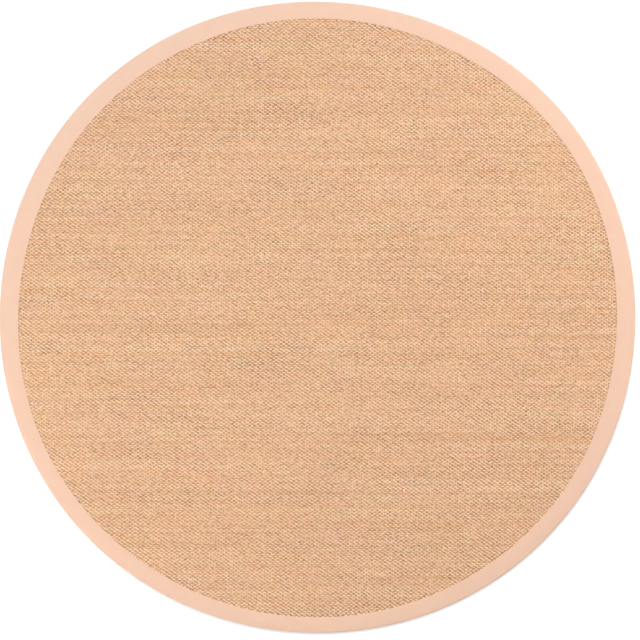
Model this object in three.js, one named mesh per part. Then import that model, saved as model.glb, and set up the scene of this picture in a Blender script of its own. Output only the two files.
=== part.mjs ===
// A round woven sisal rug whose raw edge is bound with a folded cloth tape.
// Millimetres, +Z up. The origin is on the floor, under the middle of the rug.

import * as THREE from 'three';

// Driving dimensions
const RUG_DIAMETER = 1600;      // mean outer diameter, over the tape
const WEAVE_THICKNESS = 6.5;    // woven sisal, floor to the tops of the yarns
const RIM_COMPRESSION = 0.8;    // how much the tape's pull thins the weave at the rim
const TAPE_THICKNESS = 1.0;     // cotton binding tape
const TAPE_TOP_LEAF = 44.5;     // width of tape that shows from above
const TAPE_UNDER_LEAF = 38;     // width of tape folded under the rug
const TURN_RADIUS = 3.5;        // outer radius of the tape where it turns round the edge
const GAP = 0.35;               // between the sisal and the tape
const STEP_DOWN = 9;            // the sisal sinks to the floor over this width inside the tape

// Fineness of the facets
const SEGMENTS = 120;           // steps round the rug
const TURN_STEPS = 3;           // steps in each rounded corner of the edge

// The rug was cut and bound by hand, so it isn't a true circle. Each row is a slow
// wave round the rug: its number of lobes, how far it swings the edge out and in,
// and the direction of one of its high points, counter-clockwise from +X.
const OUTER_WANDER = [
  { lobes: 1, swing: 0.45, peakDeg: 66 },
  { lobes: 2, swing: 3.0, peakDeg: 3 },
  { lobes: 3, swing: 0.6, peakDeg: 26 },
  { lobes: 4, swing: 2.3, peakDeg: 40 },
  { lobes: 5, swing: 0.4, peakDeg: 40 },
  { lobes: 6, swing: 0.3, peakDeg: 40 },
  { lobes: 7, swing: 0.3, peakDeg: 40 },
];
const INNER_WANDER = [
  { lobes: 1, swing: 2.4, peakDeg: 281 },
  { lobes: 2, swing: 1.65, peakDeg: 30 },
  { lobes: 3, swing: 0.35, peakDeg: 110 },
  { lobes: 4, swing: 2.2, peakDeg: 35 },
  { lobes: 5, swing: 0.5, peakDeg: 36 },
  { lobes: 6, swing: 1.0, peakDeg: 28 },
  { lobes: 7, swing: 0.4, peakDeg: 35 },
];

// Sizes that follow from the ones above
const outerRadius = RUG_DIAMETER / 2;
const tapeInnerRadius = outerRadius - TAPE_TOP_LEAF;
const underLeafRadius = outerRadius - TAPE_UNDER_LEAF;
const sisalInset = TAPE_THICKNESS + GAP;
const rimHeight = WEAVE_THICKNESS - RIM_COMPRESSION + 2 * sisalInset;
const tapeInnerHeight = WEAVE_THICKNESS + sisalInset;

// How far the edge swings out at one direction round the rug
function wander(rows, angle) {
  return rows.reduce((sum, { lobes, swing, peakDeg }) => {
    return sum + swing * Math.cos(lobes * (angle - THREE.MathUtils.degToRad(peakDeg)));
  }, 0);
}

// The rounded edge at a depth inside the outer face, from the floor side to the top
function roundedEdge(inset) {
  const radius = TURN_RADIUS - inset;
  const centreX = outerRadius - TURN_RADIUS;
  const corners = [
    { centreZ: TURN_RADIUS, startDeg: -90 },
    { centreZ: rimHeight - TURN_RADIUS, startDeg: 0 },
  ];
  return corners.flatMap(({ centreZ, startDeg }) => {
    return Array.from({ length: TURN_STEPS + 1 }, (_, step) => {
      const angle = THREE.MathUtils.degToRad(startDeg + (90 * step) / TURN_STEPS);
      return [centreX + radius * Math.cos(angle), centreZ + radius * Math.sin(angle)];
    });
  });
}

// The sisal's section, from the middle of its underside round to the middle of its top
function sisalSection() {
  return [
    [0, 0],
    [underLeafRadius - GAP - STEP_DOWN, 0],
    [underLeafRadius - GAP, sisalInset],
    ...roundedEdge(sisalInset),
    [tapeInnerRadius + STEP_DOWN, rimHeight - sisalInset],
    [tapeInnerRadius - GAP, WEAVE_THICKNESS],
    [0, WEAVE_THICKNESS],
  ];
}

// The tape's section: its outer face from under the rug to the top, then its inner face
function tapeSection() {
  const outerFace = [
    [underLeafRadius, 0],
    ...roundedEdge(0),
    [tapeInnerRadius + STEP_DOWN, rimHeight],
    [tapeInnerRadius, tapeInnerHeight],
  ];
  const innerFace = [
    [underLeafRadius, TAPE_THICKNESS],
    ...roundedEdge(TAPE_THICKNESS),
    [tapeInnerRadius + STEP_DOWN, rimHeight - TAPE_THICKNESS],
    [tapeInnerRadius, tapeInnerHeight - TAPE_THICKNESS],
  ];
  return [...outerFace, ...innerFace.reverse(), outerFace[0]];
}

// A section turned round the rug's axis, its rim swung out and in by the two wanders
function turnedRound(section) {
  const profile = section.map(([radius, height]) => new THREE.Vector2(radius, height));
  const geometry = new THREE.LatheGeometry(profile, SEGMENTS);
  geometry.rotateX(Math.PI / 2);
  const position = geometry.getAttribute('position');
  for (let i = 0; i < position.count; i += 1) {
    const x = position.getX(i);
    const y = position.getY(i);
    const radius = Math.hypot(x, y);
    const angle = Math.atan2(y, x);
    const acrossTape = (radius - tapeInnerRadius) / TAPE_TOP_LEAF;
    const towardsRim = Math.min(1, radius / tapeInnerRadius);
    const swing = THREE.MathUtils.lerp(
      wander(INNER_WANDER, angle),
      wander(OUTER_WANDER, angle),
      THREE.MathUtils.clamp(acrossTape, 0, 1),
    );
    const stretch = radius > 0 ? 1 + (swing * towardsRim) / radius : 1;
    position.setXY(i, x * stretch, y * stretch);
  }
  geometry.computeVertexNormals();
  return geometry;
}

function piece(name, section, colour) {
  const material = new THREE.MeshStandardMaterial({ color: colour, roughness: 0.9, metalness: 0 });
  const mesh = new THREE.Mesh(turnedRound(section), material);
  mesh.name = name;
  return mesh;
}

const rug = new THREE.Group();
rug.add(piece('sisal_mat', sisalSection(), '#e2b691'));
rug.add(piece('edge_binding', tapeSection(), '#f6cfb5'));

export default rug;
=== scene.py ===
"""A round sisal rug, woven from thick face yarns and bound with a folded cotton tape.

Laid out as an add-on. Each operator builds one piece of the rug, or the stage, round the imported
frame.
"""
import math

import bpy
import numpy as np
from bpy.props import FloatProperty, FloatVectorProperty, IntProperty, PointerProperty
from bpy.types import Operator, Panel, PropertyGroup
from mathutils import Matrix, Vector


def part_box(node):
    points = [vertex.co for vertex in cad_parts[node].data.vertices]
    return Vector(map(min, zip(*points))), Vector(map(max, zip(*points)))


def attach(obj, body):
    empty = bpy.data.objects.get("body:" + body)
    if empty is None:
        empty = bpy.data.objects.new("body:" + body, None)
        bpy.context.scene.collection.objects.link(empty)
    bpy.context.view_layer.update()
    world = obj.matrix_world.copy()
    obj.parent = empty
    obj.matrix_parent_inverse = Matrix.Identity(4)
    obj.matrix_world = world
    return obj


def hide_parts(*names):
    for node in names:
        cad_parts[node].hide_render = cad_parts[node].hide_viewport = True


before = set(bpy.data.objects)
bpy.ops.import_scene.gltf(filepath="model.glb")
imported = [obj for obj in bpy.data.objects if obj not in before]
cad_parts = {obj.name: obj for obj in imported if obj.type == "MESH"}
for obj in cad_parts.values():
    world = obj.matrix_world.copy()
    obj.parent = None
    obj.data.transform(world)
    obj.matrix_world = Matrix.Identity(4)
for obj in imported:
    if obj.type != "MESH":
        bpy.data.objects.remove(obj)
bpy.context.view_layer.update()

bl_info = {
    "name": "Round Sisal Rug",
    "version": (1, 0, 0),
    "blender": (4, 5, 0),
    "location": "3D View > Sidebar > Rug",
    "description": "Builds a round woven sisal rug with a folded cloth tape round its edge",
    "category": "Add Mesh",
}

MM = 0.001

# Room left between the sisal and the tape folded round it
GAP = 0.35 * MM

# The stitches pull the tape's inner edge down, and from there it rises to the rim's height
STITCH_PULL = 1.8 * MM
PULL_WIDTH = 30 * MM
PULL_CURVE = 1.2  # 1 would be a straight slope

# Straight steps once round the rug
GROUND_STEPS = 240
TAPE_STEPS = 720

# Each float and each stitch is one coarse ball, drawn out long
BALL_SIDES = 4
BALL_RINGS = 4
BALL_VERTICES = BALL_SIDES * (BALL_RINGS - 1) + 2

# A wave texture of this scale has one band to the metre
ONE_BAND_A_METRE = 2 * math.pi / 20

# Sockets that share a name with others of a Mix or a Random Value node
MIX_A, MIX_B, MIXED = 6, 7, 2
VECTOR_MIN, VECTOR_MAX = 0, 1
NUMBER_MIN, NUMBER_MAX, RANDOM_NUMBER = 2, 3, 1

# Each lamp's name, its place and width in metres, its power in watts, and its colour
LAMPS = (
    ("key", (-1.2, 3.95, 4.4), 2.4, 138, (0.75, 1.0, 1.22)),
    ("right fill", (1.94, 1.03, 1.9), 1.6, 37, (1.0, 1.0, 1.0)),
    ("left fill", (-1.94, -1.03, 1.9), 1.6, 37, (1.0, 1.0, 1.0)),
)


def linear(hex_colour):
    """An sRGB hex value, such as #e2b691, as linear red, green and blue."""
    channels = [int(hex_colour[i:i + 2], 16) / 255 for i in (1, 3, 5)]
    return tuple(c / 12.92 if c <= 0.04045 else ((c + 0.055) / 1.055) ** 2.4 for c in channels)


class RugWeave(PropertyGroup):
    """Sizes of the woven sisal."""

    thickness: FloatProperty(
        name="Thickness", description="Height of the yarns' tops over the floor",
        default=6.5 * MM, unit="LENGTH")
    row_pitch: FloatProperty(
        name="Row pitch", description="From one face yarn to the next",
        default=4.503 * MM, unit="LENGTH")
    float_pitch: FloatProperty(
        name="Float pitch", description="From one float to the next along a yarn",
        default=13.11 * MM, unit="LENGTH")
    float_length: FloatProperty(
        name="Float length", description="Length of yarn that shows between two dips",
        default=10.8 * MM, unit="LENGTH")
    float_width: FloatProperty(
        name="Float width", description="Width of the yarn where it bulges",
        default=5.5 * MM, unit="LENGTH")
    float_rise: FloatProperty(
        name="Float rise", description="Height of a float over the cloth between the floats",
        default=1.6 * MM, unit="LENGTH")
    lean: FloatProperty(
        name="Lean", description="How far each float turns clockwise from its yarn's line",
        default=math.radians(2.4), subtype="ANGLE")
    tuck: FloatProperty(
        name="Tuck", description="How far the woven face runs on under the tape",
        default=8 * MM, unit="LENGTH")
    wander: FloatProperty(
        name="Wander", description="How far the yarns stray from straight lines",
        default=10 * MM, unit="LENGTH")
    bands: IntProperty(
        name="Bands", description="Pieces that the woven face is made in",
        default=5, min=1)
    seed: IntProperty(name="Seed", description="Seed of the weave's irregularity", default=7)


class RugTape(PropertyGroup):
    """Sizes of the binding tape and its stitching."""

    thickness: FloatProperty(
        name="Thickness", description="Thickness of the tape", default=1.0 * MM, unit="LENGTH")
    under_leaf: FloatProperty(
        name="Under leaf", description="Width of tape folded under the rug",
        default=38 * MM, unit="LENGTH")
    turn_radius: FloatProperty(
        name="Turn radius", description="Radius of the tape where it turns round the edge",
        default=3.5 * MM, unit="LENGTH")
    stitch_inset: FloatProperty(
        name="Stitch inset", description="From the tape's inner edge to the row of stitches",
        default=4 * MM, unit="LENGTH")
    stitch_pitch: FloatProperty(
        name="Stitch pitch", description="From one stitch to the next",
        default=4.2 * MM, unit="LENGTH")
    stitch_length: FloatProperty(
        name="Stitch length", description="Length of thread that shows in one stitch",
        default=3.4 * MM, unit="LENGTH")
    thread_width: FloatProperty(
        name="Thread width", description="Width of the sewing thread",
        default=0.9 * MM, unit="LENGTH")


class RugColours(PropertyGroup):
    """Colours of the rug's cloths and of the floor."""

    sisal_light: FloatVectorProperty(
        name="Sisal, light", description="The palest fibres",
        default=linear("#ffe0c0"), subtype="COLOR", min=0, max=1)
    sisal_dark: FloatVectorProperty(
        name="Sisal, dark", description="The darkest fibres",
        default=linear("#e1a97b"), subtype="COLOR", min=0, max=1)
    ground: FloatVectorProperty(
        name="Ground", description="The cross threads, low between the floats",
        default=linear("#d89f6f"), subtype="COLOR", min=0, max=1)
    # Painted shade: a dark brown that stands for the shadow down in the hollows between the cross threads.
    painted_hollow_shade: FloatVectorProperty(
        name="Hollow", description="The shaded cloth on either side of a cross thread",
        default=linear("#85482a"), subtype="COLOR", min=0, max=1)
    tape: FloatVectorProperty(
        name="Tape", description="The cotton tape",
        default=linear("#e9bda1"), subtype="COLOR", min=0, max=1)
    floor: FloatVectorProperty(
        name="Floor", description="The studio floor",
        default=linear("#fefefe"), subtype="COLOR", min=0, max=1)


class RugStage(PropertyGroup):
    """The camera and the studio round the rug."""

    lens: FloatProperty(name="Lens", description="Focal length", default=85, unit="CAMERA")
    frame_width: FloatProperty(
        name="Frame width", description="Width of floor that the picture spans",
        default=1.6147, unit="LENGTH")
    aim_x: FloatProperty(
        name="Aim X", description="How far the camera stands to the right of the rug's middle",
        default=6.4 * MM, unit="LENGTH")
    aim_y: FloatProperty(
        name="Aim Y", description="How far the camera stands below the rug's middle in the picture",
        default=7.1 * MM, unit="LENGTH")


class SisalRug(PropertyGroup):
    """All settings of the rug."""

    weave: PointerProperty(type=RugWeave)
    tape: PointerProperty(type=RugTape)
    colours: PointerProperty(type=RugColours)
    stage: PointerProperty(type=RugStage)


class RimOutline:
    """The tape's inner and outer edge in every direction, read off the frame's binding."""

    def __init__(self, node):
        place = np.array([v.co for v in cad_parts[node].data.vertices])
        radius = np.hypot(place[:, 0], place[:, 1])
        degrees = np.round(np.degrees(np.arctan2(place[:, 1], place[:, 0])), 1) % 360
        self.directions = np.unique(degrees)
        self.inner_edge = np.array([radius[degrees == d].min() for d in self.directions])
        self.outer_edge = np.array([radius[degrees == d].max() for d in self.directions])
        self.inner_radius = self.inner_edge.mean()
        self.outer_radius = self.outer_edge.mean()

    def placed(self, radius, angle):
        """Where a point of the plain round rug lies on this uneven one, as x and y."""
        degrees = np.degrees(angle) % 360
        inner = np.interp(degrees, self.directions, self.inner_edge, period=360)
        outer = np.interp(degrees, self.directions, self.outer_edge, period=360)
        across = (radius - self.inner_radius) / (self.outer_radius - self.inner_radius)
        across = np.clip(across, 0, 1)
        swing = (1 - across) * (inner - self.inner_radius) + across * (outer - self.outer_radius)
        swing = swing * np.minimum(1, radius / self.inner_radius)
        return (radius + swing) * np.cos(angle), (radius + swing) * np.sin(angle)


RIM = RimOutline("edge_binding")
RIM_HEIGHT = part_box("edge_binding")[1][2]


def tape_top(inside):
    """Height of the tape's top face at a distance from its inner edge, which is pulled down."""
    return RIM_HEIGHT - STITCH_PULL * (1 - min(inside / PULL_WIDTH, 1)) ** PULL_CURVE


def add_node(tree, kind, inputs=None, **settings):
    """Adds a node, sets its settings, and fills its inputs, by name or number, or links them."""
    node = tree.nodes.new(kind)
    for name, value in settings.items():
        setattr(node, name, value)
    for key, value in (inputs or {}).items():
        if isinstance(value, bpy.types.NodeSocket):
            tree.links.new(value, node.inputs[key])
        else:
            node.inputs[key].default_value = value
    return node


def new_material(name):
    """A material with an empty node tree."""
    material = bpy.data.materials.new(name)
    material.use_nodes = True
    material.node_tree.nodes.clear()
    return material


def new_piece(name, mesh):
    """Puts a mesh into the scene as an object of that name."""
    piece = bpy.data.objects.new(name, mesh)
    mesh.name = name
    bpy.context.scene.collection.objects.link(piece)
    return piece


def turned_round(name, section, steps, smooth=True):
    """A section of (radius, height) turned round the rug, as a closed mesh.

    A section that starts on the axis ends there too, and any other closes on itself.
    """
    section = np.array(section)
    solid = section[0, 0] == 0
    ring = section[1:-1] if solid else section
    angle = np.arange(steps) * 2 * math.pi / steps
    x, y = RIM.placed(ring[None, :, 0], angle[:, None])
    z = np.broadcast_to(ring[None, :, 1], x.shape)
    vertices = np.stack([x, y, z], -1).reshape(-1, 3)
    here = np.arange(steps)[:, None] * len(ring)
    after = np.roll(here, -1, axis=0)
    low = np.arange(len(ring) - 1 if solid else len(ring))[None]
    high = (low + 1) % len(ring)
    quads = np.stack([here + low, after + low, after + high, here + high], -1).reshape(-1, 4)
    faces = quads.tolist()
    if solid:
        bottom, top = len(vertices), len(vertices) + 1
        vertices = np.vstack([vertices, [0, 0, section[0, 1]], [0, 0, section[-1, 1]]])
        for first, second in zip(here[:, 0].tolist(), after[:, 0].tolist()):
            faces.append([bottom, second, first])
            faces.append([top, first + len(ring) - 1, second + len(ring) - 1])
    mesh = bpy.data.meshes.new(name)
    mesh.from_pydata(vertices.tolist(), [], faces)
    if smooth:
        mesh.shade_smooth()
    return mesh


def rounded_edge(inset, turn_radius, steps):
    """The rug's rounded edge at a depth inside the tape's outer face, from the floor side up."""
    corners = [(turn_radius, -math.pi / 2), (RIM_HEIGHT - turn_radius, 0)]
    return [
        (RIM.outer_radius - turn_radius + (turn_radius - inset) * math.cos(start + turn),
         height + (turn_radius - inset) * math.sin(start + turn))
        for height, start in corners
        for turn in np.linspace(0, math.pi / 2, steps + 1)
    ]


def drift(tree, place, wander):
    """How far the weave strays, in X and Y, at a place on the rug: slowly, over 450 mm or so."""
    slow = add_node(tree, "ShaderNodeTexNoise", {
        "Vector": place, "Scale": 1 / (450 * MM), "Detail": 3.0, "Roughness": 0.5})
    either_way = add_node(tree, "ShaderNodeVectorMath", {
        0: slow.outputs["Color"], 1: (0.5, 0.5, 0.5)}, operation="SUBTRACT")
    sized = add_node(tree, "ShaderNodeVectorMath", {
        0: either_way.outputs[0], "Scale": wander}, operation="SCALE")
    level = add_node(tree, "ShaderNodeVectorMath", {
        0: sized.outputs[0], 1: (1.0, 1.0, 0.0)}, operation="MULTIPLY")
    return level.outputs[0]


def sisal_yarn(colours):
    """Sisal: stiff leaf fibre, spun into a loose hairy yarn, undyed.

    To the eye it is matt and straw coloured, and streaked along the yarn where pale and dark
    fibres lie side by side.
    """
    material = new_material("Spun sisal yarn")
    tree = material.node_tree
    yarn = add_node(tree, "ShaderNodeAttribute", attribute_name="yarn")
    tone = add_node(tree, "ShaderNodeAttribute", attribute_name="tone")
    # Each float has fibres of its own, 0.3 mm wide in a yarn 5.5 mm wide, aslant as spinning lays them.
    own = add_node(tree, "ShaderNodeVectorMath", {
        0: tone.outputs["Fac"], 1: (31.0, 17.0, 5.0)}, operation="MULTIPLY").outputs[0]
    aslant = add_node(tree, "ShaderNodeVectorRotate", {
        "Vector": yarn.outputs["Vector"], "Axis": (0.0, 0.0, 1.0), "Angle": math.radians(24)})
    drawn_out = add_node(tree, "ShaderNodeVectorMath", {
        0: aslant.outputs[0], 1: (1.1, 8.0, 8.0), 2: own}, operation="MULTIPLY_ADD").outputs[0]
    fibres = add_node(tree, "ShaderNodeTexNoise", {
        "Vector": drawn_out, "Scale": 1.0, "Detail": 2.0, "Roughness": 0.6}).outputs["Fac"]
    fibre_contrast, float_contrast, darkening = 4.2, 0.6, 1.9
    shade = add_node(tree, "ShaderNodeMath", {
        0: fibres, 1: fibre_contrast, 2: -darkening}, operation="MULTIPLY_ADD").outputs[0]
    shade = add_node(tree, "ShaderNodeMath", {
        0: tone.outputs["Fac"], 1: float_contrast, 2: shade}, operation="MULTIPLY_ADD").outputs[0]
    base = add_node(tree, "ShaderNodeMix", {
        "Factor": shade,
        MIX_A: (*colours.sisal_dark, 1), MIX_B: (*colours.sisal_light, 1)}, data_type="RGBA")
    # The leaf's own colour leans to pink or to yellow in patches up to 60 mm wide.
    place = add_node(tree, "ShaderNodeTexCoord").outputs["Object"]
    patches = add_node(tree, "ShaderNodeTexNoise", {
        "Vector": place, "Scale": 1 / (60 * MM), "Detail": 3.0, "Roughness": 0.6})
    cast_range, weakest_cast = 0.14, 0.93
    cast = add_node(tree, "ShaderNodeVectorMath", {
        0: patches.outputs["Color"], 1: (cast_range,) * 3, 2: (weakest_cast,) * 3},
        operation="MULTIPLY_ADD")
    tinted = add_node(tree, "ShaderNodeVectorMath", {
        0: base.outputs[MIXED], 1: cast.outputs[0]}, operation="MULTIPLY")
    bump = add_node(tree, "ShaderNodeBump", {
        "Height": fibres, "Strength": 0.8, "Distance": 0.5 * MM})
    shader = add_node(tree, "ShaderNodeBsdfPrincipled", {
        "Base Color": tinted.outputs[0], "Roughness": 0.8, "Specular IOR Level": 0.25,
        "Normal": bump.outputs[0]})
    add_node(tree, "ShaderNodeOutputMaterial", {"Surface": shader.outputs[0]})
    return material


def sisal_ground(colours):
    """The cross threads of the same sisal, over which the yarns dip out of sight.

    To the eye they are short upright bars between two floats, in hollows darkened with painted shade.
    """
    material = new_material("Woven sisal ground")
    tree = material.node_tree
    weave = bpy.context.scene.sisal_rug.weave
    place = add_node(tree, "ShaderNodeTexCoord").outputs["Object"]
    # There are two cross threads to each float, and they stray with the floats.
    unstrayed = add_node(tree, "ShaderNodeVectorMath", {
        0: place, 1: drift(tree, place, weave.wander)}, operation="SUBTRACT")
    across = add_node(tree, "ShaderNodeSeparateXYZ", {0: unstrayed.outputs[0]}).outputs["X"]
    turns = add_node(tree, "ShaderNodeMath", {
        0: across, 1: 2 * math.pi / (weave.float_pitch / 2)}, operation="MULTIPLY")
    threads = add_node(tree, "ShaderNodeMath", {0: turns.outputs[0]}, operation="COSINE").outputs[0]
    bars = add_node(tree, "ShaderNodeMapRange", {
        "Value": threads, "From Min": -0.1, "From Max": 0.8, "To Min": 0.0, "To Max": 1.0,
    }, interpolation_type="SMOOTHSTEP").outputs[0]
    along_threads = add_node(tree, "ShaderNodeVectorMath", {
        0: place, 1: (1 / (0.5 * MM), 1 / (4 * MM), 0.0)}, operation="MULTIPLY").outputs[0]
    fibres = add_node(tree, "ShaderNodeTexNoise", {
        "Vector": along_threads, "Scale": 1.0, "Detail": 1.0}).outputs["Fac"]
    # The hollows' painted shade is darker where they are deep and lighter where they are nearly closed,
    # here and there and in streaks along the yarns.
    depth = add_node(tree, "ShaderNodeTexNoise", {
        "Vector": place, "Scale": 1 / (6 * MM), "Detail": 1.0}).outputs["Fac"]
    patchy_hollow_shade = add_node(tree, "ShaderNodeMapRange", {
        "Value": depth, "From Min": 0.3, "From Max": 0.7, "To Min": -0.15, "To Max": 1.15,
    }).outputs[0]
    along_yarns = add_node(tree, "ShaderNodeVectorMath", {
        0: place, 1: (1 / (280 * MM), 1 / (60 * MM), 0.0)}, operation="MULTIPLY").outputs[0]
    streaky_hollow_shade = add_node(tree, "ShaderNodeTexNoise", {
        "Vector": along_yarns, "Scale": 1.0, "Detail": 4.0, "Roughness": 0.6}).outputs["Fac"]
    streak_contrast, bar_contrast, darkening = 2.4, 1.3, 2.16
    shade = add_node(tree, "ShaderNodeMath", {
        0: streaky_hollow_shade, 1: streak_contrast, 2: patchy_hollow_shade}, operation="MULTIPLY_ADD").outputs[0]
    shade = add_node(tree, "ShaderNodeMath", {
        0: bars, 1: bar_contrast, 2: shade}, operation="MULTIPLY_ADD").outputs[0]
    shade = add_node(tree, "ShaderNodeMath", {0: fibres, 1: shade}, operation="ADD").outputs[0]
    shade = add_node(tree, "ShaderNodeMath", {0: shade, 1: darkening}, operation="SUBTRACT").outputs[0]
    # The shade factor mixes the painted shade of the hollows with the cross threads' own colour.
    base = add_node(tree, "ShaderNodeMix", {
        "Factor": shade, MIX_A: (*colours.painted_hollow_shade, 1), MIX_B: (*colours.ground, 1)},
        data_type="RGBA")
    bump = add_node(tree, "ShaderNodeBump", {
        "Height": bars, "Strength": 0.8, "Distance": 1.0 * MM})
    shader = add_node(tree, "ShaderNodeBsdfPrincipled", {
        "Base Color": base.outputs[MIXED], "Roughness": 0.9, "Specular IOR Level": 0.2,
        "Normal": bump.outputs[0]})
    add_node(tree, "ShaderNodeOutputMaterial", {"Surface": shader.outputs[0]})
    return material


def cotton_tape(colours):
    """Cotton tape, dyed to match the sisal, with fine ribs from edge to edge, and pressed flat.

    To the eye it is smooth, even and nearly matt.
    """
    material = new_material("Pressed cotton tape")
    tree = material.node_tree
    cloth = add_node(tree, "ShaderNodeUVMap", uv_map="Cloth").outputs[0]
    # Ribs 0.9 mm apart, coarser than the real 0.5 mm so that they show close by
    ribs = add_node(tree, "ShaderNodeTexWave", {
        "Vector": cloth, "Scale": ONE_BAND_A_METRE / (0.9 * MM),
        "Distortion": 0.4, "Detail": 1.0, "Detail Scale": 0.5,
    }, wave_type="BANDS", bands_direction="X")
    threads = add_node(tree, "ShaderNodeTexWave", {
        "Vector": cloth, "Scale": ONE_BAND_A_METRE / (0.7 * MM),
        "Distortion": 0.4, "Detail": 1.0, "Detail Scale": 0.5,
    }, wave_type="BANDS", bands_direction="Y")
    weave = add_node(tree, "ShaderNodeMath", {
        0: threads.outputs["Fac"], 1: 0.35, 2: ribs.outputs["Fac"]}, operation="MULTIPLY_ADD")
    mottle = add_node(tree, "ShaderNodeTexNoise", {
        "Vector": cloth, "Scale": 1 / (30 * MM), "Detail": 3.0})
    darker = [0.97 * c for c in colours.tape]
    paler = [1.03 * c for c in colours.tape]
    base = add_node(tree, "ShaderNodeMix", {
        "Factor": mottle.outputs["Fac"], MIX_A: (*darker, 1), MIX_B: (*paler, 1)},
        data_type="RGBA")
    bump = add_node(tree, "ShaderNodeBump", {
        "Height": weave.outputs[0], "Strength": 0.7, "Distance": 0.2 * MM})
    shader = add_node(tree, "ShaderNodeBsdfPrincipled", {
        "Base Color": base.outputs[MIXED], "Roughness": 0.6, "Specular IOR Level": 0.4,
        "Normal": bump.outputs[0]})
    add_node(tree, "ShaderNodeOutputMaterial", {"Surface": shader.outputs[0]})
    return material


def sewing_thread(colours):
    """Polyester sewing thread, matched to the tape.

    To the eye it is the tape's colour with a little more gloss, and paler diagonal bands along its twisted
    plies are painted highlight.
    """
    material = new_material("Polyester sewing thread")
    tree = material.node_tree
    yarn = add_node(tree, "ShaderNodeAttribute", attribute_name="yarn")
    # Painted highlight: paler bands where light would catch the crests of the twisted plies.
    ply_highlight = add_node(tree, "ShaderNodeTexWave", {
        "Vector": yarn.outputs["Vector"], "Scale": 1.6, "Distortion": 0.3,
    }, wave_type="BANDS", bands_direction="DIAGONAL")
    paler = [1.15 * c for c in colours.tape]
    base = add_node(tree, "ShaderNodeMix", {
        "Factor": ply_highlight.outputs["Fac"], MIX_A: (*colours.tape, 1), MIX_B: (*paler, 1)},
        data_type="RGBA")
    shader = add_node(tree, "ShaderNodeBsdfPrincipled", {
        "Base Color": base.outputs[MIXED], "Roughness": 0.55, "Specular IOR Level": 0.4})
    add_node(tree, "ShaderNodeOutputMaterial", {"Surface": shader.outputs[0]})
    return material


def floor_paint(colours):
    """Matt emulsion paint on a studio floor: flat, pale and without gloss.

    Lamps of its own keep the floor as bright far off as it is round the rug.
    """
    material = new_material("Matt studio paint")
    tree = material.node_tree
    place = add_node(tree, "ShaderNodeTexCoord").outputs["Object"]
    out = add_node(tree, "ShaderNodeVectorMath", {0: place}, operation="LENGTH").outputs["Value"]
    beside_rug, far_off, strongest = 0.85, 2.4, 0.62
    lamps = add_node(tree, "ShaderNodeMapRange", {
        "Value": out, "From Min": beside_rug, "From Max": far_off, "To Min": 0.0, "To Max": strongest,
    }, interpolation_type="SMOOTHSTEP").outputs[0]
    shader = add_node(tree, "ShaderNodeBsdfPrincipled", {
        "Base Color": (*colours.floor, 1), "Roughness": 0.95, "Specular IOR Level": 0.1,
        "Emission Color": (1.0, 1.0, 1.0, 1.0), "Emission Strength": lamps})
    add_node(tree, "ShaderNodeOutputMaterial", {"Surface": shader.outputs[0]})
    return material


def named_inputs(tree, rows):
    """Gives a geometry tree inputs, from rows of name, socket type and default, to link from."""
    for name, kind, default in rows:
        socket = tree.interface.new_socket(name, in_out="INPUT", socket_type=kind)
        if default is not None:
            socket.default_value = default
    tree.interface.new_socket("Geometry", in_out="OUTPUT", socket_type="NodeSocketGeometry")
    return tree.nodes.new("NodeGroupInput").outputs


def bulge(tree):
    """A closed stretch of yarn of unit half length along X, round on top and shallow underneath.

    It is a coarse ball, its upper half drawn in and raised, and its lower half spread and flat.
    Each point's own place, from -1 to 1 along, across and up, is stored as the attribute yarn.
    """
    upper_half, lower_half = (1.0, 0.75, 1.41), (1.0, 1.41, 0.2)
    spread_at_ends = 0.08
    ball = add_node(tree, "GeometryNodeMeshUVSphere", {
        "Segments": BALL_SIDES, "Rings": BALL_RINGS, "Radius": 1.0})
    spun = add_node(tree, "GeometryNodeTransform", {
        "Geometry": ball.outputs["Mesh"], "Rotation": (0.0, 0.0, math.pi / 4)}).outputs[0]
    laid = add_node(tree, "GeometryNodeTransform", {
        "Geometry": spun, "Rotation": (0.0, math.pi / 2, 0.0)}).outputs[0]
    place = add_node(tree, "GeometryNodeInputPosition").outputs[0]
    parts = add_node(tree, "ShaderNodeSeparateXYZ", {0: place}).outputs
    above = add_node(tree, "FunctionNodeCompare", {
        0: parts["Z"], 1: 0.0}, operation="GREATER_THAN").outputs[0]
    shape = add_node(tree, "GeometryNodeSwitch", {
        "Switch": above, "False": lower_half, "True": upper_half}, input_type="VECTOR").outputs[0]
    shaped = add_node(tree, "ShaderNodeVectorMath", {
        0: place, 1: shape}, operation="MULTIPLY").outputs[0]
    from_middle = add_node(tree, "ShaderNodeMath", {0: parts["X"]}, operation="ABSOLUTE").outputs[0]
    widened = add_node(tree, "ShaderNodeMath", {
        0: from_middle, 1: spread_at_ends, 2: 1.0}, operation="MULTIPLY_ADD").outputs[0]
    blunt = add_node(tree, "ShaderNodeCombineXYZ", {"X": 1.0, "Y": widened, "Z": 1.0}).outputs[0]
    shaped = add_node(tree, "ShaderNodeVectorMath", {
        0: shaped, 1: blunt}, operation="MULTIPLY").outputs[0]
    drawn = add_node(tree, "GeometryNodeSetPosition", {
        "Geometry": laid, "Position": shaped}).outputs[0]
    kept = add_node(tree, "GeometryNodeStoreNamedAttribute", {
        "Geometry": drawn, "Name": "yarn", "Value": place,
    }, data_type="FLOAT_VECTOR", domain="POINT")
    return kept.outputs[0]


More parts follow.
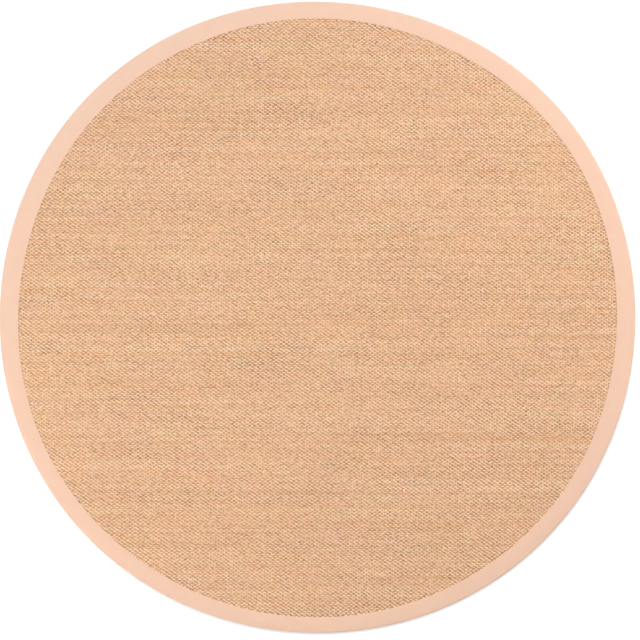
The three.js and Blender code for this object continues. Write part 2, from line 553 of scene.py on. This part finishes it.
def made_by_nodes(name, tree, values):
    """Runs a geometry tree with its inputs set by name, and returns the mesh it makes."""
    carrier = bpy.data.objects.new(name, bpy.data.meshes.new(name))
    bpy.context.scene.collection.objects.link(carrier)
    modifier = carrier.modifiers.new("Nodes", "NODES")
    modifier.node_group = tree
    for item in tree.interface.items_tree:
        if item.in_out == "INPUT" and item.name in values:
            modifier[item.identifier] = values[item.name]
    evaluated = carrier.evaluated_get(bpy.context.evaluated_depsgraph_get())
    mesh = bpy.data.meshes.new_from_object(evaluated)
    carrier.modifiers.remove(modifier)
    bpy.data.objects.remove(carrier)
    return mesh


def weave_tree():
    """The tree that lays out rows of slanting floats and gives each its own size and tone."""
    tree = bpy.data.node_groups.new("Woven floats", "GeometryNodeTree")
    given = named_inputs(tree, [
        ("First row", "NodeSocketInt", 0),
        ("Rows", "NodeSocketInt", 10),
        ("Columns", "NodeSocketInt", 10),
        ("Row pitch", "NodeSocketFloat", 0.0),
        ("Float pitch", "NodeSocketFloat", 0.0),
        ("Float length", "NodeSocketFloat", 0.0),
        ("Float width", "NodeSocketFloat", 0.0),
        ("Float rise", "NodeSocketFloat", 0.0),
        ("Ground height", "NodeSocketFloat", 0.0),
        ("Lean", "NodeSocketFloat", 0.0),
        ("Reach", "NodeSocketFloat", 0.0),
        ("Wander", "NodeSocketFloat", 0.0),
        ("Seed", "NodeSocketInt", 0),
        ("Material", "NodeSocketMaterial", None),
    ])
    index = add_node(tree, "GeometryNodeInputIndex").outputs[0]
    count = add_node(tree, "ShaderNodeMath", {
        0: given["Rows"], 1: given["Columns"]}, operation="MULTIPLY").outputs[0]
    rows_up = add_node(tree, "ShaderNodeMath", {
        0: index, 1: given["Columns"]}, operation="DIVIDE").outputs[0]
    rows_up = add_node(tree, "ShaderNodeMath", {0: rows_up}, operation="FLOOR").outputs[0]
    row = add_node(tree, "ShaderNodeMath", {
        0: rows_up, 1: given["First row"]}, operation="ADD").outputs[0]
    column = add_node(tree, "ShaderNodeMath", {
        0: index, 1: given["Columns"]}, operation="MODULO").outputs[0]
    half = add_node(tree, "ShaderNodeMath", {
        0: given["Columns"], 1: 0.5}, operation="MULTIPLY").outputs[0]
    column = add_node(tree, "ShaderNodeMath", {0: column, 1: half}, operation="SUBTRACT").outputs[0]
    odd = add_node(tree, "ShaderNodeMath", {0: row, 1: 2.0}, operation="FLOORED_MODULO").outputs[0]
    staggered = add_node(tree, "ShaderNodeMath", {
        0: odd, 1: 0.5, 2: column}, operation="MULTIPLY_ADD").outputs[0]
    x = add_node(tree, "ShaderNodeMath", {
        0: staggered, 1: given["Float pitch"]}, operation="MULTIPLY").outputs[0]
    y = add_node(tree, "ShaderNodeMath", {
        0: row, 1: given["Row pitch"]}, operation="MULTIPLY").outputs[0]
    plain = add_node(tree, "ShaderNodeCombineXYZ", {
        "X": x, "Y": y, "Z": given["Ground height"]}).outputs[0]

    # Each float strays with the cloth round it, and a little more by itself.
    loose_along, loose_across = 0.5 * MM, 0.3 * MM
    loose = add_node(tree, "FunctionNodeRandomValue", {
        VECTOR_MIN: (-loose_along, -loose_across, 0.0),
        VECTOR_MAX: (loose_along, loose_across, 0.0), "ID": index, "Seed": given["Seed"],
    }, data_type="FLOAT_VECTOR").outputs[0]
    strayed = add_node(tree, "ShaderNodeVectorMath", {
        0: plain, 1: drift(tree, plain, given["Wander"])}, operation="ADD").outputs[0]
    strayed = add_node(tree, "ShaderNodeVectorMath", {0: strayed, 1: loose}, operation="ADD").outputs[0]
    points = add_node(tree, "GeometryNodePoints", {
        "Count": count, "Position": strayed}).outputs[0]

    # Each yarn keeps a tone of its own nearly right across the rug, and each float varies round it.
    tone_length, rows_apart = 1100 * MM, 7.31
    yarn_contrast, darkening, float_spread = 2.1, 0.55, 0.12
    along = add_node(tree, "ShaderNodeMath", {0: x, 1: 1 / tone_length}, operation="MULTIPLY").outputs[0]
    apart = add_node(tree, "ShaderNodeMath", {0: row, 1: rows_apart}, operation="MULTIPLY").outputs[0]
    spot = add_node(tree, "ShaderNodeCombineXYZ", {
        "X": along, "Y": apart, "Z": given["Seed"]}).outputs[0]
    streak = add_node(tree, "ShaderNodeTexNoise", {
        "Vector": spot, "Scale": 1.0, "Detail": 4.0, "Roughness": 0.6})
    own = add_node(tree, "FunctionNodeRandomValue", {
        NUMBER_MIN: -darkening - float_spread, NUMBER_MAX: -darkening + float_spread,
        "ID": index, "Seed": given["Seed"]}, data_type="FLOAT").outputs[RANDOM_NUMBER]
    tone = add_node(tree, "ShaderNodeMath", {
        0: streak.outputs["Fac"], 1: yarn_contrast, 2: own}, operation="MULTIPLY_ADD").outputs[0]
    points = add_node(tree, "GeometryNodeStoreNamedAttribute", {
        "Geometry": points, "Name": "tone", "Value": tone,
    }, data_type="FLOAT", domain="POINT").outputs[0]

    place = add_node(tree, "GeometryNodeInputPosition").outputs[0]
    flat = add_node(tree, "ShaderNodeVectorMath", {
        0: place, 1: (1.0, 1.0, 0.0)}, operation="MULTIPLY").outputs[0]
    out = add_node(tree, "ShaderNodeVectorMath", {0: flat}, operation="LENGTH").outputs["Value"]
    beyond = add_node(tree, "FunctionNodeCompare", {
        0: out, 1: given["Reach"]}, data_type="FLOAT", operation="GREATER_THAN").outputs[0]
    points = add_node(tree, "GeometryNodeDeleteGeometry", {
        "Geometry": points, "Selection": beyond}, domain="POINT").outputs[0]

    # A ball of radius 1 takes half the length and width, and each float differs by a tenth or so.
    number = add_node(tree, "GeometryNodeInputIndex").outputs[0]
    fuller = add_node(tree, "FunctionNodeRandomValue", {
        VECTOR_MIN: (0.45, 0.45, 0.8), VECTOR_MAX: (0.55, 0.55, 1.0),
        "ID": number, "Seed": given["First row"],
    }, data_type="FLOAT_VECTOR").outputs[0]
    size = add_node(tree, "ShaderNodeCombineXYZ", {
        "X": given["Float length"], "Y": given["Float width"], "Z": given["Float rise"]}).outputs[0]
    size = add_node(tree, "ShaderNodeVectorMath", {0: size, 1: fuller}, operation="MULTIPLY").outputs[0]
    loose_turn = 0.07
    turn = add_node(tree, "FunctionNodeRandomValue", {
        NUMBER_MIN: -loose_turn, NUMBER_MAX: loose_turn, "ID": number, "Seed": given["Seed"],
    }, data_type="FLOAT").outputs[RANDOM_NUMBER]
    turn = add_node(tree, "ShaderNodeMath", {0: turn, 1: given["Lean"]}, operation="SUBTRACT").outputs[0]
    turned = add_node(tree, "ShaderNodeCombineXYZ", {"Z": turn}).outputs[0]
    floats = add_node(tree, "GeometryNodeInstanceOnPoints", {
        "Points": points, "Instance": bulge(tree), "Rotation": turned, "Scale": size}).outputs[0]
    real = add_node(tree, "GeometryNodeRealizeInstances", {"Geometry": floats}).outputs[0]
    soft = add_node(tree, "GeometryNodeSetShadeSmooth", {"Geometry": real}).outputs[0]
    dressed = add_node(tree, "GeometryNodeSetMaterial", {
        "Geometry": soft, "Material": given["Material"]}).outputs[0]
    add_node(tree, "NodeGroupOutput", {"Geometry": dressed})
    return tree


def map_in_cells(mesh):
    """Lays a bake map on a mesh of many balls, each in its own cell, its top and bottom apart."""
    uv = mesh.uv_layers.new(name="OFBake")
    corner_vertex = np.empty(len(mesh.loops), int)
    mesh.loops.foreach_get("vertex_index", corner_vertex)
    place = np.empty(len(mesh.vertices) * 3)
    mesh.attributes["yarn"].data.foreach_get("vector", place)
    place = place.reshape(-1, 3)[corner_vertex]
    starts = np.empty(len(mesh.polygons), int)
    mesh.polygons.foreach_get("loop_start", starts)
    sizes = np.empty(len(mesh.polygons), int)
    mesh.polygons.foreach_get("loop_total", sizes)
    height = np.add.reduceat(place[:, 2], starts) / sizes
    below = np.repeat(height < 0, sizes)
    cells = math.ceil(math.sqrt(len(mesh.vertices) / BALL_VERTICES))
    cell = corner_vertex // BALL_VERTICES
    margin = 0.06
    within_x = margin + (1 - 2 * margin) * (place[:, 0] + 1) / 2
    within_y = margin / 2 + (0.5 - margin) * (place[:, 1] + 1) / 2 + 0.5 * below
    spots = np.stack([(cell % cells + within_x) / cells, (cell // cells + within_y) / cells], 1)
    uv.data.foreach_set("uv", spots.ravel())


class RUG_OT_sisal_ground(Operator):
    """Build the sisal cloth that lies under the floats"""

    bl_idname = "rug.sisal_ground"
    bl_label = "Sisal ground"

    def execute(self, context):
        rug = context.scene.sisal_rug
        inset = rug.tape.thickness + GAP
        ground = rug.weave.thickness - rug.weave.float_rise
        inner = RIM.inner_radius
        under = RIM.outer_radius - rug.tape.under_leaf
        # The cloth steps up over the tape underneath, and rises a little where it goes under the top leaf.
        step_up = 9 * MM
        lift, lift_width = 0.8 * MM, 4 * MM
        section = [
            (0, 0),
            (under - GAP - step_up, 0),
            (under - GAP, inset),
            *rounded_edge(inset, rug.tape.turn_radius, steps=4),
            (inner + PULL_WIDTH, RIM_HEIGHT - inset),
            (inner + rug.weave.tuck, ground + lift),
            (inner, ground + lift),
            (inner - lift_width, ground),
            (inner / 2, ground),
            (0, ground),
        ]
        mesh = turned_round("sisal_ground", section, GROUND_STEPS, smooth=False)
        mesh.materials.append(sisal_ground(rug.colours))
        piece = new_piece("sisal_ground", mesh)
        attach(piece, "root")
        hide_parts("sisal_mat")
        return {"FINISHED"}


class RUG_OT_woven_face(Operator):
    """Weave the face of the rug: rows of slanting floats, in a few bands"""

    bl_idname = "rug.woven_face"
    bl_label = "Woven face"

    def execute(self, context):
        rug = context.scene.sisal_rug
        weave = rug.weave
        reach = RIM.inner_radius + weave.tuck
        half_rows = math.ceil(reach / weave.row_pitch)
        edges = np.linspace(-half_rows, half_rows + 1, weave.bands + 1).round().astype(int)
        tree = weave_tree()
        material = sisal_yarn(rug.colours)
        for number, (first, last) in enumerate(zip(edges[:-1], edges[1:]), 1):
            name = f"woven_face_{number}"
            mesh = made_by_nodes(name, tree, {
                "First row": int(first),
                "Rows": int(last - first),
                "Columns": 2 * math.ceil(reach / weave.float_pitch) + 2,
                "Row pitch": weave.row_pitch,
                "Float pitch": weave.float_pitch,
                "Float length": weave.float_length,
                "Float width": weave.float_width,
                "Float rise": weave.float_rise,
                "Ground height": weave.thickness - weave.float_rise,
                "Lean": weave.lean,
                "Reach": reach,
                "Wander": weave.wander,
                "Seed": weave.seed,
                "Material": material,
            })
            if not mesh.polygons:
                raise RuntimeError(f"{name} came out empty")
            map_in_cells(mesh)
            piece = new_piece(name, mesh)
            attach(piece, "root")
        return {"FINISHED"}


class RUG_OT_edge_tape(Operator):
    """Fold the cotton tape round the edge of the rug"""

    bl_idname = "rug.edge_tape"
    bl_label = "Edge tape"

    def execute(self, context):
        rug = context.scene.sisal_rug
        tape = rug.tape
        inner, edge = RIM.inner_radius, tape_top(0)
        under = RIM.outer_radius - tape.under_leaf
        half_pull = PULL_WIDTH / 2
        # Each raw edge of the tape is bevelled by this much, one way and the other.
        bevel_short, bevel_long = 0.2 * MM, 0.3 * MM
        outer_face = [
            (under + bevel_short, 0.0),
            *rounded_edge(0, tape.turn_radius, steps=6),
            *[(inner + share * PULL_WIDTH, tape_top(share * PULL_WIDTH))
              for share in (1.0, 0.8, 0.6, 0.4, 0.2, 0.1)],
            (inner + bevel_long, tape_top(bevel_long)),
            (inner, edge - bevel_short),
        ]
        inner_face = [
            (under, bevel_long),
            (under, tape.thickness),
            *rounded_edge(tape.thickness, tape.turn_radius, steps=6),
            (inner + PULL_WIDTH, RIM_HEIGHT - tape.thickness),
            (inner + half_pull, tape_top(half_pull) - tape.thickness),
            (inner, edge - tape.thickness),
        ]
        section = outer_face + inner_face[::-1]
        mesh = turned_round("edge_tape", section, TAPE_STEPS)
        self.add_maps(mesh, section, TAPE_STEPS)
        mesh.materials.append(cotton_tape(rug.colours))
        piece = new_piece("edge_tape", mesh)
        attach(piece, "root")
        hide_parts("edge_binding")
        # Cut flat, the tape is as wide as its outer face is round the edge.
        return {"FINISHED"}

    @staticmethod
    def add_maps(mesh, section, steps):
        """Gives the tape a map in metres along and across it, and a bake map of stacked strips."""
        section = np.array(section)
        around = np.linalg.norm(np.diff(section, axis=0, append=section[:1]), axis=1)
        across = np.concatenate([[0], np.cumsum(around)])
        step, point = np.divmod(np.arange(steps * len(section)), len(section))
        corners = [(0, 0), (1, 0), (1, 1), (0, 1)]
        along = np.stack([step + du for du, _ in corners], 1) * 2 * math.pi / steps
        over = np.stack([across[point + dv] for _, dv in corners], 1)
        cloth = np.stack([along * RIM.outer_radius, over], -1)
        strips = 5
        turn = along * strips / (2 * math.pi)
        strip = np.floor(turn[:, :1])
        margin = 0.01
        bake = np.stack([
            turn - strip,
            (strip + margin + (1 - 2 * margin) * over / across[-1]) / strips], -1)
        for name, spots in (("Cloth", cloth), ("OFBake", bake)):
            mesh.uv_layers.new(name=name).data.foreach_set("uv", spots.ravel())


def stitch_tree():
    """The tree that lays stitches end to end along a curve."""
    tree = bpy.data.node_groups.new("Row of stitches", "GeometryNodeTree")
    given = named_inputs(tree, [
        ("Seam", "NodeSocketObject", None),
        ("Stitch pitch", "NodeSocketFloat", 0.0),
        ("Stitch length", "NodeSocketFloat", 0.0),
        ("Thread width", "NodeSocketFloat", 0.0),
        ("Material", "NodeSocketMaterial", None),
    ])
    seam = add_node(tree, "GeometryNodeObjectInfo", {"Object": given["Seam"]})
    curve = add_node(tree, "GeometryNodeMeshToCurve", {"Mesh": seam.outputs["Geometry"]}).outputs[0]
    spots = add_node(tree, "GeometryNodeCurveToPoints", {
        "Curve": curve, "Length": given["Stitch pitch"]}, mode="LENGTH")
    size = add_node(tree, "ShaderNodeCombineXYZ", {
        "X": given["Stitch length"], "Y": given["Thread width"],
        "Z": given["Thread width"]}).outputs[0]
    half = add_node(tree, "ShaderNodeVectorMath", {
        0: size, "Scale": 0.5}, operation="SCALE").outputs[0]
    ahead = add_node(tree, "FunctionNodeAlignRotationToVector", {
        "Vector": spots.outputs["Tangent"]}, axis="X", pivot_axis="Z").outputs[0]
    stitches = add_node(tree, "GeometryNodeInstanceOnPoints", {
        "Points": spots.outputs["Points"], "Instance": bulge(tree),
        "Rotation": ahead, "Scale": half}).outputs[0]
    real = add_node(tree, "GeometryNodeRealizeInstances", {"Geometry": stitches}).outputs[0]
    soft = add_node(tree, "GeometryNodeSetShadeSmooth", {"Geometry": real}).outputs[0]
    dressed = add_node(tree, "GeometryNodeSetMaterial", {
        "Geometry": soft, "Material": given["Material"]}).outputs[0]
    add_node(tree, "NodeGroupOutput", {"Geometry": dressed})
    return tree


class RUG_OT_stitches(Operator):
    """Sew the tape down with a row of stitches near its inner edge"""

    bl_idname = "rug.stitches"
    bl_label = "Stitches"

    def execute(self, context):
        rug = context.scene.sisal_rug
        sunk = 0.1 * MM
        angle = np.arange(TAPE_STEPS) * 2 * math.pi / TAPE_STEPS
        x, y = RIM.placed(np.full(TAPE_STEPS, RIM.inner_radius + rug.tape.stitch_inset), angle)
        height = tape_top(rug.tape.stitch_inset) - sunk
        path = bpy.data.meshes.new("seam")
        path.from_pydata([(a, b, height) for a, b in zip(x, y)],
                         [(i, (i + 1) % TAPE_STEPS) for i in range(TAPE_STEPS)], [])
        seam = new_piece("seam", path)
        mesh = made_by_nodes("tape_stitches", stitch_tree(), {
            "Seam": seam,
            "Stitch pitch": rug.tape.stitch_pitch,
            "Stitch length": rug.tape.stitch_length,
            "Thread width": rug.tape.thread_width,
            "Material": sewing_thread(rug.colours),
        })
        bpy.data.objects.remove(seam)
        if not mesh.polygons:
            raise RuntimeError("the stitches came out empty")
        map_in_cells(mesh)
        piece = new_piece("tape_stitches", mesh)
        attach(piece, "root")
        return {"FINISHED"}


class RUG_OT_stage(Operator):
    """Set up the floor, the soft light and the camera straight above the rug"""

    bl_idname = "rug.stage"
    bl_label = "Stage"

    def execute(self, context):
        scene = context.scene
        stage = scene.sisal_rug.stage
        self.add_camera(scene, stage)
        self.add_floor(scene.sisal_rug.colours)
        for lamp in LAMPS:
            self.add_lamp(*lamp)
        scene.world = self.studio_world()
        scene.view_settings.view_transform = "Standard"
        scene.view_settings.look = "None"
        return {"FINISHED"}

    @staticmethod
    def add_camera(scene, stage):
        """A camera that looks straight down, nearly over the rug's middle."""
        data = bpy.data.cameras.new("camera")
        data.lens = stage.lens
        camera = bpy.data.objects.new("camera", data)
        height = stage.frame_width * stage.lens / data.sensor_width
        camera.location = (stage.aim_x, -stage.aim_y, height)
        scene.collection.objects.link(camera)
        scene.camera = camera

    @staticmethod
    def add_floor(colours):
        """A flat floor that reaches far past the rug, a hair under it."""
        mesh = bpy.data.meshes.new("floor")
        reach, level = 15.0, -0.1 * MM
        mesh.from_pydata([(-reach, -reach, level), (reach, -reach, level),
                          (reach, reach, level), (-reach, reach, level)], [], [(0, 1, 2, 3)])
        mesh.materials.append(floor_paint(colours))
        new_piece("floor", mesh)

    @staticmethod
    def studio_world():
        """White all round: a bright backdrop low down, and a darker ceiling over it."""
        world = bpy.data.worlds.new("Studio")
        world.use_nodes = True
        tree = world.node_tree
        way = add_node(tree, "ShaderNodeTexCoord").outputs["Generated"]
        height = add_node(tree, "ShaderNodeSeparateXYZ", {0: way}).outputs["Z"]
        backdrop_top, ceiling_edge = 0.16, 0.32
        backdrop, ceiling = 1.06, 0.41
        glow = add_node(tree, "ShaderNodeMapRange", {
            "Value": height, "From Min": backdrop_top, "From Max": ceiling_edge,
            "To Min": backdrop, "To Max": ceiling,
        }, interpolation_type="SMOOTHSTEP").outputs[0]
        shade = tree.nodes["Background"].inputs
        shade["Color"].default_value = (1, 1, 1, 1)
        tree.links.new(glow, shade["Strength"])
        return world

    @staticmethod
    def add_lamp(name, place, width, power, colour):
        """A square soft box at that place, turned to the rug's middle."""
        data = bpy.data.lights.new(name, "AREA")
        data.shape = "SQUARE"
        data.size = width
        data.energy = power
        data.color = colour
        light = bpy.data.objects.new(name, data)
        light.location = place
        light.rotation_euler = (-Vector(place)).to_track_quat("-Z", "Y").to_euler()
        bpy.context.scene.collection.objects.link(light)


class RUG_PT_panel(Panel):
    """The rug's pieces, in the order in which they are built"""

    bl_label = "Sisal rug"
    bl_idname = "RUG_PT_panel"
    bl_space_type = "VIEW_3D"
    bl_region_type = "UI"
    bl_category = "Rug"

    def draw(self, context):
        for step in STEPS:
            self.layout.operator(step.bl_idname)
        rug = context.scene.sisal_rug
        for group in (rug.weave, rug.tape, rug.colours, rug.stage):
            box = self.layout.box()
            for name in group.__annotations__:
                box.prop(group, name)


STEPS = (RUG_OT_stage, RUG_OT_woven_face, RUG_OT_sisal_ground, RUG_OT_edge_tape, RUG_OT_stitches)
CLASSES = (RugWeave, RugTape, RugColours, RugStage, SisalRug, *STEPS, RUG_PT_panel)


def register():
    for one in CLASSES:
        bpy.utils.register_class(one)
    bpy.types.Scene.sisal_rug = PointerProperty(type=SisalRug)


def unregister():
    del bpy.types.Scene.sisal_rug
    for one in reversed(CLASSES):
        bpy.utils.unregister_class(one)


def main():
    """Builds the rug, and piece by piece."""
    register()
    bpy.ops.rug.stage()
    bpy.ops.rug.woven_face()
    bpy.ops.rug.sisal_ground()
    bpy.ops.rug.edge_tape()
    bpy.ops.rug.stitches()


if __name__ == "__main__":
    main()
